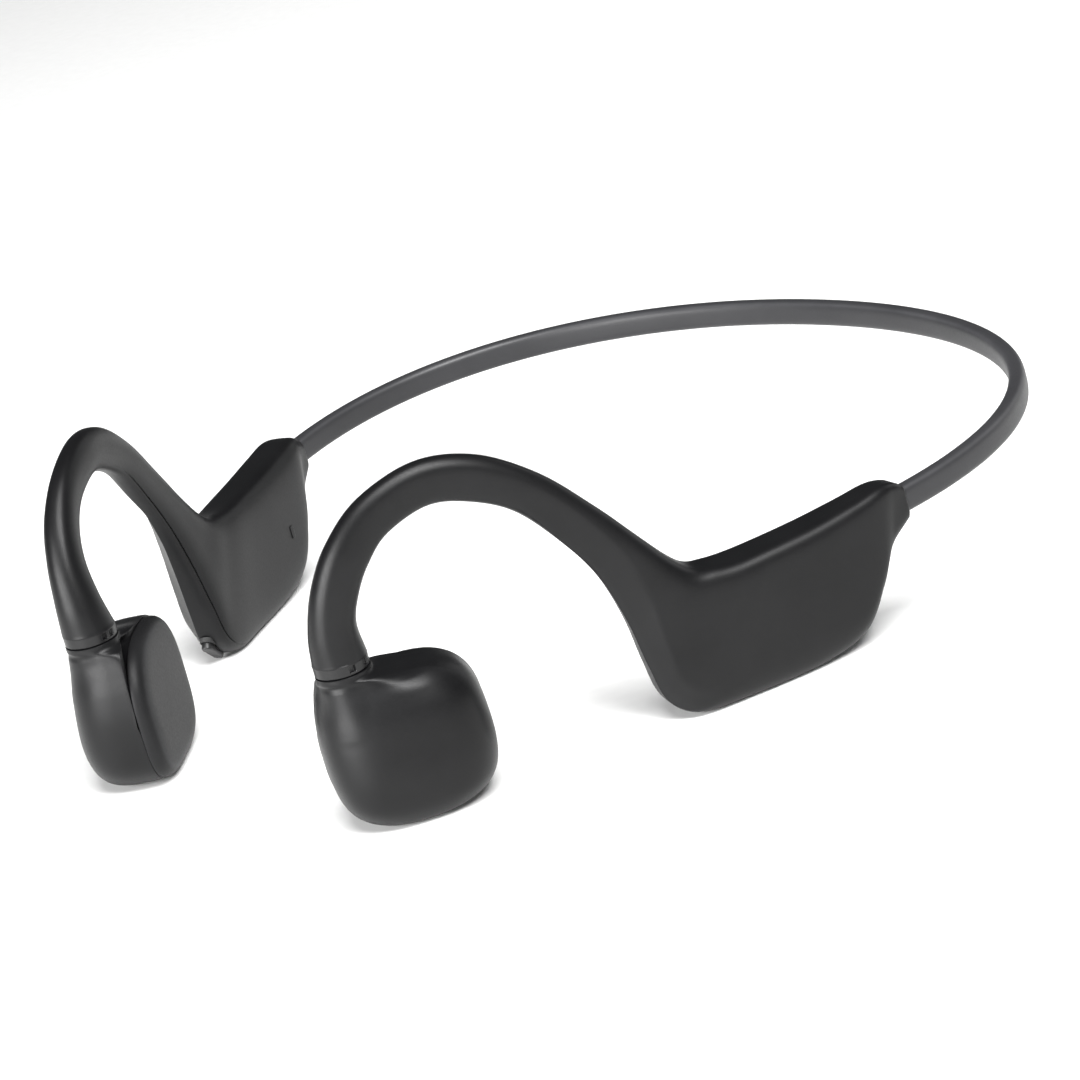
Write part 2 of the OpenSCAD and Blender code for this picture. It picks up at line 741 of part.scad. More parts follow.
module battery_cell() {
    tab = [2.8, 1.4, 4];
    in_pod() {
        translate([cell_face - cell_t, -cell_l / 2 + 0.2, cell_z]) cube([cell_t, cell_l, cell_h]);
        translate([cell_face - (cell_t + tab[0]) / 2, cell_l / 2 + 0.2, cell_z + tab[2]]) cube(tab);
    }
}
// Fills the room between the cell and the pod's inner cover.
module battery_cushion() {
    foam_face = cell_face - cell_t - seat_gap;
    foam_t = foam_face + pod_r - cover_t - foam_clear;
    in_pod() translate([foam_face - foam_t, -foam_l / 2, foam_z]) cube([foam_t, foam_l, foam_h]);
}
module main_board() {
    in_pod() difference() {
        translate([-board_t / 2, -board_l / 2, board_z]) cube([board_t, board_l, board_h]);
        board_holes() rotate([0, 90, 0]) cylinder(r = screw_r + 0.1, h = 4, center = true, $fn = fine_fn);
    }
}
module board_holes() {
    for (end = [-1, 1]) translate([0, end * board_hole_spacing / 2, board_hole_z]) children();
}
// Parts stand just clear of the board: two chips and a row of capacitors outside, resistors inside.
module board_parts() {
    outside = board_t / 2 + 0.01;
    low_part = 0.5;
    in_pod() {
        translate([outside, -8, 5]) cube([1, 5, 5]);
        translate([outside, 6, 6]) cube([1.2, 3.2, 4]);
        for (k = [0:5]) translate([outside, -9 + 2 * k, 12]) cube([low_part, 0.6, 1.1]);
        for (k = [0:4]) translate([-outside - low_part, -6 + 2.4 * k, 13]) cube([low_part, 1.2, 0.7]);
    }
}
module radio_shield() {
    can = [1.4, 11, 7.4];
    in_pod() translate([-board_t / 2 - seat_gap - can[0], -4, cell_z]) cube(can);
}
module board_fixings() {
    head = 0.6;
    in_pod() board_holes() rotate([0, 90, 0]) {
        translate([0, 0, -board_t / 2 - 0.01 - head]) cylinder(r = screw_head_r, h = head, $fn = fine_fn);
        translate([0, 0, -head]) cylinder(r = screw_r, h = boss_bore + 0.2, $fn = fine_fn);
    }
}

// ---- light slot and microphone behind the right cover, charging contacts in the left ----
slot_s = 71.2 * side_scale;
slot_z = 9.8;
slot_w = 0.7;
slot_h = 1.9;
guide_out = 0.35;
guide_base = 2.8;
mic_drop = 4.4;
mic_r = 1.4;
module slot_prism(from_w, to_w, shrink) {
    translate([from_w, -slot_w / 2 + shrink, slot_z - slot_h / 2 + shrink])
        cube([to_w - from_w, slot_w - 2 * shrink, slot_h - 2 * shrink]);
}
module light_guide() {
    arc_frame(slot_s) {
        slot_prism(-pod_r + guide_out, -pod_r + cover_t + 0.4, seat_gap);
        translate([-pod_r + cover_t + 0.2, -1, slot_z - guide_base / 2]) cube([0.5, 2, guide_base]);
    }
}
module microphone_capsule() {
    arc_frame(slot_s) translate([-pod_r + cover_t + 0.85, 0, slot_z - mic_drop])
        rotate([0, 90, 0]) cylinder(r = mic_r, h = 1.1, $fn = fine_fn);
}
module microphone_gauze() {
    arc_frame(slot_s) translate([-pod_r + cover_t + 0.6, 0, slot_z - mic_drop])
        rotate([0, 90, 0]) cylinder(r = mic_r - 0.2, h = 0.24, $fn = fine_fn);
}
charge_s = 62 * side_scale;
charge_z = 12.5;
pin_spacing = 3.2;
pin_r = 0.7;
carrier_r = 1.3;
module carrier_prism(from_w, to_w, shrink) {
    translate([from_w, 0, charge_z]) rotate([0, 90, 0]) linear_extrude(to_w - from_w) union() {
        for (end = [-1, 1]) translate([0, end * pin_spacing / 2]) circle(r = carrier_r - shrink, $fn = fine_fn);
        square([2 * (carrier_r - shrink), pin_spacing], center = true);
    }
}
module charge_carrier() {
    arc_frame(charge_s) difference() {
        carrier_prism(-pod_r + 0.1, -pod_r + cover_t + 0.15, seat_gap);
        charge_pin_spots() cylinder(r = pin_r + seat_gap, h = 4, center = true, $fn = fine_fn);
    }
}
module charge_pin_spots() {
    for (end = [-1, 1]) translate([-pod_r, end * pin_spacing / 2, charge_z]) rotate([0, 90, 0]) children();
}
module charge_contacts() {
    arc_frame(charge_s) charge_pin_spots() {
        translate([0, 0, 0.02]) cylinder(r = pin_r, h = cover_t + 0.2, $fn = fine_fn);
        translate([0, 0, cover_t + 0.17]) cylinder(r = pin_r + 0.25, h = 0.2, $fn = fine_fn);
    }
}

color(charcoal) one_side("left") hook_skin();  // left_hook_skin
color(charcoal) one_side("right") hook_skin();  // right_hook_skin
color(titanium) one_side("left") hook_core();  // left_hook_core
color(titanium) one_side("right") hook_core();  // right_hook_core
color(copper) one_side("left") hook_leads();  // left_hook_leads
color(copper) one_side("right") hook_leads();  // right_hook_leads
color(deep_black) one_side("left") swivel_collar();  // left_swivel_collar
color(deep_black) one_side("right") swivel_collar();  // right_swivel_collar
color(steel) one_side("left") swivel_spigot();  // left_swivel_spigot
color(steel) one_side("right") swivel_spigot();  // right_swivel_spigot
color(steel) one_side("left") swivel_clip();  // left_swivel_clip
color(steel) one_side("right") swivel_clip();  // right_swivel_clip
color(copper) one_side("left") swivel_bush();  // left_swivel_bush
color(copper) one_side("right") swivel_bush();  // right_swivel_bush
color(charcoal) one_side("left") transducer_housing();  // left_transducer_housing
color(charcoal) one_side("right") transducer_housing();  // right_transducer_housing
color(pad_grey) one_side("left") cheek_pad();  // left_cheek_pad
color(pad_grey) one_side("right") cheek_pad();  // right_cheek_pad
color(steel) one_side("left") magnet();  // left_magnet
color(steel) one_side("right") magnet();  // right_magnet
color(steel) one_side("left") yoke();  // left_yoke
color(steel) one_side("right") yoke();  // right_yoke
color(steel) one_side("left") pole_plate();  // left_pole_plate
color(steel) one_side("right") pole_plate();  // right_pole_plate
color(copper) one_side("left") voice_coil();  // left_voice_coil
color(copper) one_side("right") voice_coil();  // right_voice_coil
color(steel) one_side("left") suspension();  // left_suspension
color(steel) one_side("right") suspension();  // right_suspension
color(deep_black) one_side("left") drive_frame();  // left_drive_frame
color(deep_black) one_side("right") drive_frame();  // right_drive_frame
color(steel) one_side("left") frame_screws();  // left_frame_screws
color(steel) one_side("right") frame_screws();  // right_frame_screws
color(charcoal) one_side("left") pod_shell(false);  // left_pod_shell
color(charcoal) one_side("right") pod_shell(true);  // right_pod_shell
color(pad_grey) one_side("left") pod_cover(false);  // left_pod_cover
color(pad_grey) one_side("right") pod_cover(true);  // right_pod_cover
color(deep_black) one_side("left") band_plug();  // left_band_plug
color(deep_black) one_side("right") band_plug();  // right_band_plug
color(deep_black) one_side("right") button_cap();  // power_button
color(deep_black) one_side("right") button_seal();  // power_button_seal
color(steel) one_side("right") button_dome();  // power_switch
color(steel) one_side("left") battery_cell();  // battery
color(deep_black) one_side("left") battery_cushion();  // battery_foam
color(board_green) one_side("right") main_board();  // circuit_board
color(deep_black) one_side("right") board_parts();  // board_components
color(steel) one_side("right") radio_shield();  // radio_module
color(steel) one_side("right") board_fixings();  // board_screws
color(steel) one_side("right") microphone_capsule();  // microphone
color(steel) one_side("right") microphone_gauze();  // microphone_mesh
color("white") one_side("right") light_guide();  // light_pipe
color(deep_black) one_side("left") charge_carrier();  // pin_carrier
color(gold) one_side("left") charge_contacts();  // charging_pins
color(deep_black) one_side("left") cover_seal();  // left_cover_seal
color(deep_black) one_side("right") cover_seal();  // right_cover_seal
color(band_grey) band_sleeve();
color(titanium) band_core();
color(copper) band_leads();
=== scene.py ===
# Bone conduction headphones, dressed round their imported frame.
# Sizes are in millimetres until the last step into a mesh; everything else is in metres.
import json
import math

import bpy
import numpy as np
from mathutils import Matrix, Vector


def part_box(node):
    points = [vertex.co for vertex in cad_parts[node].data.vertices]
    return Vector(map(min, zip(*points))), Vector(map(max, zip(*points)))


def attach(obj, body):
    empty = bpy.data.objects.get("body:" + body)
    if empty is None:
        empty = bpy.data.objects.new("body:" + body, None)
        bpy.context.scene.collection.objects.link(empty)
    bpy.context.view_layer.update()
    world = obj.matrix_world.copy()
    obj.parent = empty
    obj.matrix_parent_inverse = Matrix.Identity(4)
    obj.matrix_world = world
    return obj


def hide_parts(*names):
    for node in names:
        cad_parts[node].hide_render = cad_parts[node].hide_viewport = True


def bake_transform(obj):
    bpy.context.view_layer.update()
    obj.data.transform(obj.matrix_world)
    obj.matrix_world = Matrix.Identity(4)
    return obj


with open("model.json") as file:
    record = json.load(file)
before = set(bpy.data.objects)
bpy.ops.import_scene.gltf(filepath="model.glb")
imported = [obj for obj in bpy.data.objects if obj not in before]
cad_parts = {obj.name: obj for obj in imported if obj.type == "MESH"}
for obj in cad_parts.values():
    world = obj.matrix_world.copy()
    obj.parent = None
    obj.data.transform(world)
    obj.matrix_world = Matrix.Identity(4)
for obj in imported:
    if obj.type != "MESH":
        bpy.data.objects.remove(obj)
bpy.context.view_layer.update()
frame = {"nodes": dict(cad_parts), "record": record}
mm = 0.001
nodes = frame["nodes"]
print("frame loaded:", len(nodes), "nodes")

# Each side follows a toed-in arc: s runs back along it from the swivel, w stands out from the
# head and z is height.
sideArc = {"toeFront": 36.0, "toeRear": 17.0, "length": 84.6}
spigotLow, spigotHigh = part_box("left_swivel_spigot")
swivelX = (spigotLow.x + spigotHigh.x) / 2 / mm
swivelY = (spigotLow.y + spigotHigh.y) / 2 / mm
toeRadius = sideArc["length"] / math.radians(sideArc["toeFront"] - sideArc["toeRear"])


def toeAt(s):  # toe-in in radians, falling evenly from front to rear
    share = np.asarray(s, float) / sideArc["length"]
    return np.radians(sideArc["toeFront"] + (sideArc["toeRear"] - sideArc["toeFront"]) * share)


def onArc(w, s, z):  # arc coordinates to the frame's own, for the left side
    toe, front = toeAt(s), math.radians(sideArc["toeFront"])
    x = swivelX + toeRadius * (np.cos(toe) - math.cos(front)) + w * np.cos(toe)
    y = swivelY + toeRadius * (math.sin(front) - np.sin(toe)) - w * np.sin(toe)
    return np.stack(np.broadcast_arrays(x, y, z), axis=-1)


def straightFrame(s0, local):  # local (w, s, z) points in the straight frame tangent to the arc at s0
    toe = float(toeAt(s0))
    origin = onArc(0.0, s0, 0.0)
    w, s, z = local[..., 0], local[..., 1], local[..., 2]
    x = origin[0] + w * math.cos(toe) + s * math.sin(toe)
    y = origin[1] - w * math.sin(toe) + s * math.cos(toe)
    return np.stack([x, y, z], axis=-1)


def mirrored(points, side):
    return points if side == "left" else points * np.array([-1.0, 1.0, 1.0])


def signedPower(value, exponent):
    return np.sign(value) * np.abs(value) ** exponent


def smoothStep(low, high, value):  # 0 at low, 1 at high, an even S between
    t = np.clip((value - low) / (high - low), 0, 1)
    return t * t * (3 - 2 * t)


def smoothMin(a, b, softness):  # the lesser of two values with a rounded join
    h = np.clip(0.5 + 0.5 * (b - a) / softness, 0, 1)
    return b + (a - b) * h - softness * h * (1 - h)


def splineRows(rows, t):  # Catmull-Rom curve through the rows of a table at fractional row numbers
    rows = np.asarray(rows, float)
    last = len(rows) - 1
    i = np.clip(np.floor(t).astype(int), 0, last - 1)
    u = (t - i)[:, None]
    before = np.where((i > 0)[:, None], rows[np.maximum(i - 1, 0)], 2 * rows[i] - rows[i + 1])
    beyond = np.minimum(i + 2, last)
    after = np.where((i + 2 <= last)[:, None], rows[beyond], 2 * rows[i + 1] - rows[i])
    a, b = rows[i], rows[i + 1]
    return 0.5 * (2 * a + u * (b - before) + u * u * (2 * before - 5 * a + 4 * b - after)
                  + u ** 3 * (3 * a - 3 * b + after - before))


def gridMesh(name, grid, wrap=False, capStart=False, capEnd=False, attributes=None):
    # One quad for each cell of a grid of points; wrap joins the last column to the first and a
    # cap closes an end row with a fan to its middle. Outward faces need rows x columns turning
    # right-handed, and meshes whose volume comes out negative are turned round.
    rows, columns = grid.shape[:2]
    points = grid.reshape(-1, 3)
    i, j = np.meshgrid(np.arange(rows - 1), np.arange(columns if wrap else columns - 1), indexing="ij")
    a = i * columns + j
    b = i * columns + (j + 1) % columns
    quads = np.stack([a, b, b + columns, a + columns], axis=-1).reshape(-1, 4)
    faces = [tuple(q) for q in quads.tolist()]
    extra = []
    for wanted, row, turn in ((capStart, 0, 1), (capEnd, rows - 1, -1)):
        if wanted:
            middle = len(points) + len(extra)
            extra.append(grid[row].mean(axis=0))
            ring = row * columns + np.arange(columns)
            faces += [(int(p), int(middle), int(q))[::turn] for p, q in zip(ring, np.roll(ring, -1))]
    if extra:
        points = np.vstack([points, extra])
    tris = np.array([(f[0], f[k], f[k + 1]) for f in faces for k in range(1, len(f) - 1)])
    p, q, r = points[tris[:, 0]], points[tris[:, 1]], points[tris[:, 2]]
    if (p * np.cross(q, r)).sum() < 0:
        faces = [f[::-1] for f in faces]
    mesh = bpy.data.meshes.new(name)
    mesh.from_pydata((points * mm).tolist(), [], faces)
    for label, values in (attributes or {}).items():
        full = np.concatenate([values.reshape(-1), np.full(len(extra), float(values.mean()))])
        mesh.attributes.new(label, "FLOAT", "POINT").data.foreach_set("value", full.astype(np.float32))
    mesh.shade_smooth()
    mesh.update()
    piece = bpy.data.objects.new(name, mesh)
    bpy.context.scene.collection.objects.link(piece)
    return piece


def dress(piece, material, slotName, body, *replaced):
    piece.data.materials.clear()
    piece.data.materials.append(material)
    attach(piece, body)
    if replaced:
        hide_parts(*replaced)


def linear(hexColour):  # sRGB hex to linear colour
    parts = [int(hexColour[k:k + 2], 16) / 255 for k in (0, 2, 4)]
    return tuple(c / 12.92 if c <= 0.04045 else ((c + 0.055) / 1.055) ** 2.4 for c in parts) + (1.0,)


def addNode(tree, kind, settings=None, links=None):  # one node with its settings and incoming links
    node = tree.nodes.new(kind)
    for key, value in (settings or {}).items():
        if isinstance(key, int) or key in node.inputs:
            node.inputs[key].default_value = value
        else:
            setattr(node, key, value)
    for key, source in (links or {}).items():
        tree.links.new(source, node.inputs[key])
    return node


def rampStops(node, stops):
    elements = node.color_ramp.elements
    while len(elements) > len(stops):
        elements.remove(elements[-1])
    while len(elements) < len(stops):
        elements.new(0.5)
    for element, (place, colour) in zip(elements, stops):
        element.position = place
        element.color = colour


def finishMaterial(name, look):
    # A moulded, drawn or plated finish: colour drifts over driftSize, grain of grainSize raises the
    # surface by grainDepth, and roughness wanders between two values. Sizes in millimetres.
    material = bpy.data.materials.new(name)
    material.use_nodes = True
    tree = material.node_tree
    tree.nodes.clear()
    place = addNode(tree, "ShaderNodeTexCoord").outputs["Object"]
    if "stretch" in look:
        place = addNode(tree, "ShaderNodeMapping", {"Scale": look["stretch"]},
                        {"Vector": place}).outputs["Vector"]
    drift = addNode(tree, "ShaderNodeTexNoise", {"Scale": 1 / (look["driftSize"] * mm), "Detail": 4.0,
                                                 "Roughness": 0.55}, {"Vector": place})
    grain = addNode(tree, "ShaderNodeTexNoise", {"Scale": 1 / (look["grainSize"] * mm), "Detail": 3.0,
                                                 "Roughness": 0.6}, {"Vector": place})
    colour = addNode(tree, "ShaderNodeValToRGB", {}, {"Fac": drift.outputs["Fac"]})
    rampStops(colour, [(0.32, linear(look["dark"])), (0.68, linear(look["light"]))])
    baseColour = colour.outputs["Color"]
    rough = addNode(tree, "ShaderNodeMapRange", {"From Min": 0.3, "From Max": 0.7,
                                                 "To Min": look["roughness"][0],
                                                 "To Max": look["roughness"][1]},
                    {"Value": grain.outputs["Fac"]})
    roughness = rough.outputs["Result"]
    if "highlightColour" in look:  # painted highlight: edges lightened towards the highlight colour by the value kept on the mesh, with roughness lowered a little there
        paintedHighlight = addNode(tree, "ShaderNodeAttribute", {"attribute_name": "paintedHighlight"})
        patch = addNode(tree, "ShaderNodeMath", {"operation": "MULTIPLY"},
                        {0: paintedHighlight.outputs["Fac"], 1: drift.outputs["Fac"]})
        highlighted = addNode(tree, "ShaderNodeMixRGB", {"Color2": linear(look["highlightColour"])},
                         {"Fac": patch.outputs["Value"], "Color1": baseColour})
        baseColour = highlighted.outputs["Color"]
        polish = addNode(tree, "ShaderNodeMath", {"operation": "MULTIPLY", 1: -look["polish"]},
                         {0: patch.outputs["Value"]})
        lessRough = addNode(tree, "ShaderNodeMath", {"operation": "ADD"},
                            {0: roughness, 1: polish.outputs["Value"]})
        roughness = lessRough.outputs["Value"]
    bump = addNode(tree, "ShaderNodeBump", {"Strength": look.get("bump", 0.35),
                                            "Distance": look["grainDepth"] * mm},
                   {"Height": grain.outputs["Fac"]})
    settings = {"Metallic": 1.0 if look.get("metal") else 0.0}
    for key, socket in (("sheen", "Sheen Weight"), ("coat", "Coat Weight"), ("ior", "IOR"),
                        ("coatRoughness", "Coat Roughness"), ("sheenRoughness", "Sheen Roughness")):
        if key in look:
            settings[socket] = look[key]
    shader = addNode(tree, "ShaderNodeBsdfPrincipled", settings,
                     {"Base Color": baseColour, "Roughness": roughness,
                      "Normal": bump.outputs["Normal"]})
    addNode(tree, "ShaderNodeOutputMaterial", {}, {"Surface": shader.outputs["BSDF"]})
    return material


# Soft-touch elastomer, moulded over nylon: a satin skin whose spark-eroded grain of 0.1 mm is drawn
# at 0.3 mm so that it shows. It spreads highlights widely and never mirrors.
# Its lighter edge colour paints highlights along the ridges and along the housing shoulder.
elastomerLook = {"dark": "0a0a0b", "light": "0f0f10", "highlightColour": "1a1a1b", "polish": 0.05,
                 "driftSize": 9.0, "grainSize": 0.3, "grainDepth": 0.02, "bump": 0.35,
                 "roughness": (0.36, 0.44), "ior": 1.31}
# Matt silicone of the cheek pads and inner covers: a little lighter and duller than the skin, with a
# painted highlight on the bevel rim.
padLook = {"dark": "121213", "light": "171718", "highlightColour": "29292b", "polish": 0.08, "driftSize": 7.0,
           "grainSize": 0.35, "grainDepth": 0.025, "bump": 0.4, "roughness": (0.46, 0.54), "ior": 1.28}
# Liquid silicone of the band, moulded satin: the lightest grey, with a painted highlight in lighter grey
# along its upper and lower edges.
bandLook = {"dark": "242426", "light": "29292b", "highlightColour": "464648", "polish": 0.1, "driftSize": 12.0,
            "grainSize": 0.3, "grainDepth": 0.02, "bump": 0.3, "roughness": (0.42, 0.5), "ior": 1.43}
# Polished black polycarbonate of the swivel collars.
collarLook = {"dark": "060607", "light": "0b0b0c", "driftSize": 3.0, "grainSize": 0.25,
              "grainDepth": 0.004, "bump": 0.2, "roughness": (0.3, 0.38), "ior": 1.42}
# ABS button cap with a fine etched face.
buttonLook = {"dark": "0c0c0d", "light": "111112", "driftSize": 2.0, "grainSize": 0.22,
              "grainDepth": 0.015, "bump": 0.35, "roughness": (0.42, 0.52), "ior": 1.53}
# Smoked diffuser over the status light: dark and glossy.
diffuserLook = {"dark": "050506", "light": "0a0a0b", "driftSize": 1.0, "grainSize": 0.3,
                "grainDepth": 0.002, "bump": 0.15, "roughness": (0.35, 0.42), "ior": 1.3}
# Gold plating on sprung contacts.
goldLook = {"dark": "d9a24a", "light": "efc069", "driftSize": 0.8, "grainSize": 0.15,
            "grainDepth": 0.004, "roughness": (0.18, 0.3), "metal": True}

inner = {
    # nylon of the drive frames, plugs and contact carrier, moulded
    "inner_plastic": {"dark": "252526", "light": "303031", "driftSize": 4.0, "grainSize": 0.3,
                      "grainDepth": 0.02, "roughness": (0.5, 0.6), "ior": 1.53},
    # rubber cord seals
    "seal_rubber": {"dark": "151515", "light": "1d1d1d", "driftSize": 3.0, "grainSize": 0.25,
                    "grainDepth": 0.02, "roughness": (0.6, 0.75), "ior": 1.5},
    # titanium wire, drawn: fine lengthwise streaks
    "titanium": {"dark": "8d8882", "light": "a9a49d", "driftSize": 2.0, "grainSize": 0.12,
                 "grainDepth": 0.01, "roughness": (0.3, 0.42), "metal": True, "stretch": (1, 0.2, 1)},
    # turned and stamped stainless steel
    "steel": {"dark": "a9acb0", "light": "c4c7ca", "driftSize": 2.5, "grainSize": 0.15,
              "grainDepth": 0.008, "roughness": (0.24, 0.36), "metal": True, "stretch": (1, 1, 3)},
    # bright nickel over sintered magnet
    "magnet_nickel": {"dark": "b9b2a6", "light": "cfc8bc", "driftSize": 2.0, "grainSize": 0.2,
                      "grainDepth": 0.004, "roughness": (0.12, 0.2), "metal": True},
    # oil-filled sintered bronze
    "bronze": {"dark": "8a5f35", "light": "ab7c4a", "driftSize": 1.0, "grainSize": 0.15,
               "grainDepth": 0.02, "roughness": (0.38, 0.55), "metal": True},
    # enamelled copper winding
    "copper_wire": {"dark": "9c4f27", "light": "bd6a38", "driftSize": 1.0, "grainSize": 0.12,
                    "grainDepth": 0.02, "roughness": (0.2, 0.3), "metal": True, "stretch": (3, 1, 1)},
    "gold_plate": goldLook,
    # solder mask over glass-fibre laminate
    "board_green": {"dark": "14492a", "light": "1d5c36", "driftSize": 3.0, "grainSize": 0.4,
                    "grainDepth": 0.01, "roughness": (0.28, 0.38), "ior": 1.55},
    # aluminium foil pouch, slightly creased
    "cell_foil": {"dark": "a2a3a6", "light": "bdbec1", "driftSize": 4.0, "grainSize": 1.5,
                  "grainDepth": 0.05, "roughness": (0.25, 0.4), "metal": True},
    # closed-cell foam
    "foam": {"dark": "17171a", "light": "232327", "driftSize": 1.5, "grainSize": 0.4,
             "grainDepth": 0.1, "roughness": (0.85, 0.95), "ior": 1.5},
    # moulded epoxy of chips
    "chip_black": {"dark": "161618", "light": "202022", "driftSize": 1.5, "grainSize": 0.2,
                   "grainDepth": 0.01, "roughness": (0.45, 0.6), "ior": 1.55},
    "light_diffuser": diffuserLook,
    # enamelled leads
    "wire_jacket": {"dark": "5a1414", "light": "741d1d", "driftSize": 2.0, "grainSize": 0.2,
                    "grainDepth": 0.008, "roughness": (0.3, 0.4), "ior": 1.5},
}
skinElastomer = finishMaterial("softTouchElastomer", elastomerLook)
padSilicone = finishMaterial("mattSilicone", padLook)
bandSilicone = finishMaterial("bandSilicone", bandLook)
collarPolycarbonate = finishMaterial("polishedPolycarbonate", collarLook)
buttonAbs = finishMaterial("etchedAbs", buttonLook)
slotMaterials = {"soft_touch_black": skinElastomer, "pad_rubber": padSilicone,
                 "band_rubber": bandSilicone, "gloss_black": collarPolycarbonate,
                 "button_plastic": buttonAbs}
for slotName, look in inner.items():
    slotMaterials[slotName] = finishMaterial(slotName + "_finish", look)
slotOf = {row["node"]: row["material_slot"] for row in frame["record"]["subparts"]}
for name, node in nodes.items():
    for k in range(len(node.material_slots)):
        node.material_slots[k].material = slotMaterials[slotOf[name]]
print("materials:", len(slotMaterials))

# Rows: upper edge s and z, lower edge s and z, half thickness, lean outwards, squareness of the
# section, and how far its roof slopes up towards the head.
skin = {
    "stations": [
        [-4, 25.1, 4, 25.1, 4, 0, 2, 0],
        [-3.3, 30, 3.7, 30, 3.3, 0.4, 2.1, 0],
        [-1.2, 36.2, 5.2, 34.2, 2.7, 0.9, 2.2, 0],
        [2.6, 42, 7.6, 37.8, 2.4, 0.9, 2.3, 0],
        [8.6, 46.7, 11.2, 40.8, 2.1, 0.3, 2.4, 0],
        [17.5, 49, 17.5, 42.5, 2.1, -0.4, 2.4, 0],
        [26, 47.1, 23.2, 41.1, 2.1, -0.4, 2.4, 0],
        [33.8, 41.6, 29, 37.6, 2.2, -0.2, 2.4, 0],
        [40.2, 34.3, 34.2, 31, 2.5, 0.1, 2.6, 0],
        [44.9, 28.1, 37.8, 24.6, 3.0, 0.3, 2.8, 0.1],
        [48.4, 23.6, 40, 17, 3.5, 0.2, 3, 0.3],
        [51, 21.3, 41.2, 9.5, 3.9, 0, 3.2, 0.4],
        [54, 20.6, 42.6, 3.6, 4.1, 0, 3.4, 0.4],
        [57.5, 20.3, 46.5, 0.5, 4.3, 0, 3.6, 0.4],
        [62, 20.4, 54, 0, 4.3, 0, 3.6, 0.3],
        [69, 20.7, 66, 0.2, 4.3, 0, 3.6, 0.2],
        [76, 21.3, 73.4, 2.1, 4.1, 0, 3.6, 0.0],
        [80.6, 21.8, 77.5, 7, 3.7, 0, 3.4, -0.1],
        [83.2, 21.4, 80.6, 12, 2.9, 0, 3, 0],
        [84.6, 20.5, 84.6, 14.8, 2.3, 0, 2.6, 0],
    ],
    "rowsPerStation": 12,
    "columns": 112,
    "coverAngle": 52,        # half angle of the cover about the inner face, degrees
    "stripWidth": 4.3,       # chamfer down the front of the pod, outer side
    "stripDepth": 3.0,
    "stripFades": ((6.5, 9.0), (12.0, 14.0)),       # stations where it comes and goes
    "seamFades": ((6.0, 8.5), (12.2, 13.4)),
    "seamDepth": 0.28,
    "seamWidth": 1.6,        # degrees
    "collarRim": (0.09, 0.25),   # share pulled in, drop in millimetres
    "rearRim": (0.3, 0.45),      # share pulled in, reach in millimetres
    "highlightAngles": ((62, 9, 1.0), (300, 12, 0.5)),   # middle, spread and strength of the painted highlight lines
    "highlightRows": (60, 130),                          # grid rows over which the painted highlight comes in
}


def quadrantSquareness(angle, base, t):
    # The top outer edge of the pod is the sharpest, the inner corners are tighter than the outer ones.
    podness = smoothStep(9.5, 12.5, t)
    upper, outer = np.sin(angle) > 0, np.cos(angle) > 0
    extra = np.where(upper & outer, 2.6, np.where(upper, 0.6, np.where(outer, 0.2, 1.6)))
    return base + podness * extra


def skinSurface(t, angle, inset=0.0):
    # Superellipse sections carried along the stations, each trimmed by a chamfer near its front
    # edge on the outer side. Angle 0 is the outer face and 90 the upper edge.
    rows = splineRows(skin["stations"], t)[:, None, :]
    a = np.radians(angle)[None, :]
    tt = t[:, None]
    power = 2 / quadrantSquareness(a, rows[..., 6], tt)
    cosine, sine = np.cos(a), np.sin(a)
    half = rows[..., 4]
    across = signedPower(cosine, power) * (half - inset)
    upper, lower = rows[..., 0:2], rows[..., 2:4]
    middle, reach = (upper + lower) / 2, (upper - lower) / 2
    length = np.linalg.norm(reach, axis=-1)
    along = signedPower(sine, power) * (1 - inset / length)
    fromFront = (along + 1) * length
    comes, goes = skin["stripFades"]
    weight = smoothStep(*comes, tt) * (1 - smoothStep(*goes, tt))
    limit = half - skin["stripDepth"] * weight * (1 - fromFront / skin["stripWidth"])
    across = np.where(across > 0, smoothMin(across, np.maximum(limit, 0.2), 0.3), across)
    roof = -rows[..., 7] * across / half * np.maximum(0, along)
    s = middle[..., 0] + reach[..., 0] * along
    z = middle[..., 1] + reach[..., 1] * along + roof
    return np.stack([rows[..., 5] + across, s, z], axis=-1)


def seamCut(angle, t):  # inward depth of the parting groove between shell and inner cover
    away = np.abs(angle - (180 + skin["coverAngle"]))[None, :]
    comes, goes = skin["seamFades"]
    along = (smoothStep(*comes, t) * (1 - smoothStep(*goes, t)))[:, None]
    return along * skin["seamDepth"] * np.exp(-(away / skin["seamWidth"]) ** 2)


def seamColumns(count):  # evenly spread angles with a cluster at both sides of each seam
    even = np.linspace(0, 360, count, endpoint=False)
    near = np.array([-3.2, -2.2, -1.4, -0.7, 0, 0.7, 1.4, 2.2, 3.2])
    clusters = [edge + near for edge in (180 - skin["coverAngle"], 180 + skin["coverAngle"])]
    even = even[np.all([np.abs(even - c[4]) > 3.6 for c in clusters], axis=0)]
    return np.sort(np.concatenate([even] + clusters))


def arcToFrame(local):
    return onArc(local[..., 0], local[..., 1], local[..., 2])


def inwards(local, depth):  # moves points towards the middle of their own row
    middle = local.mean(axis=1, keepdims=True)
    way = middle - local
    return local + way / np.linalg.norm(way, axis=-1, keepdims=True) * depth[..., None]


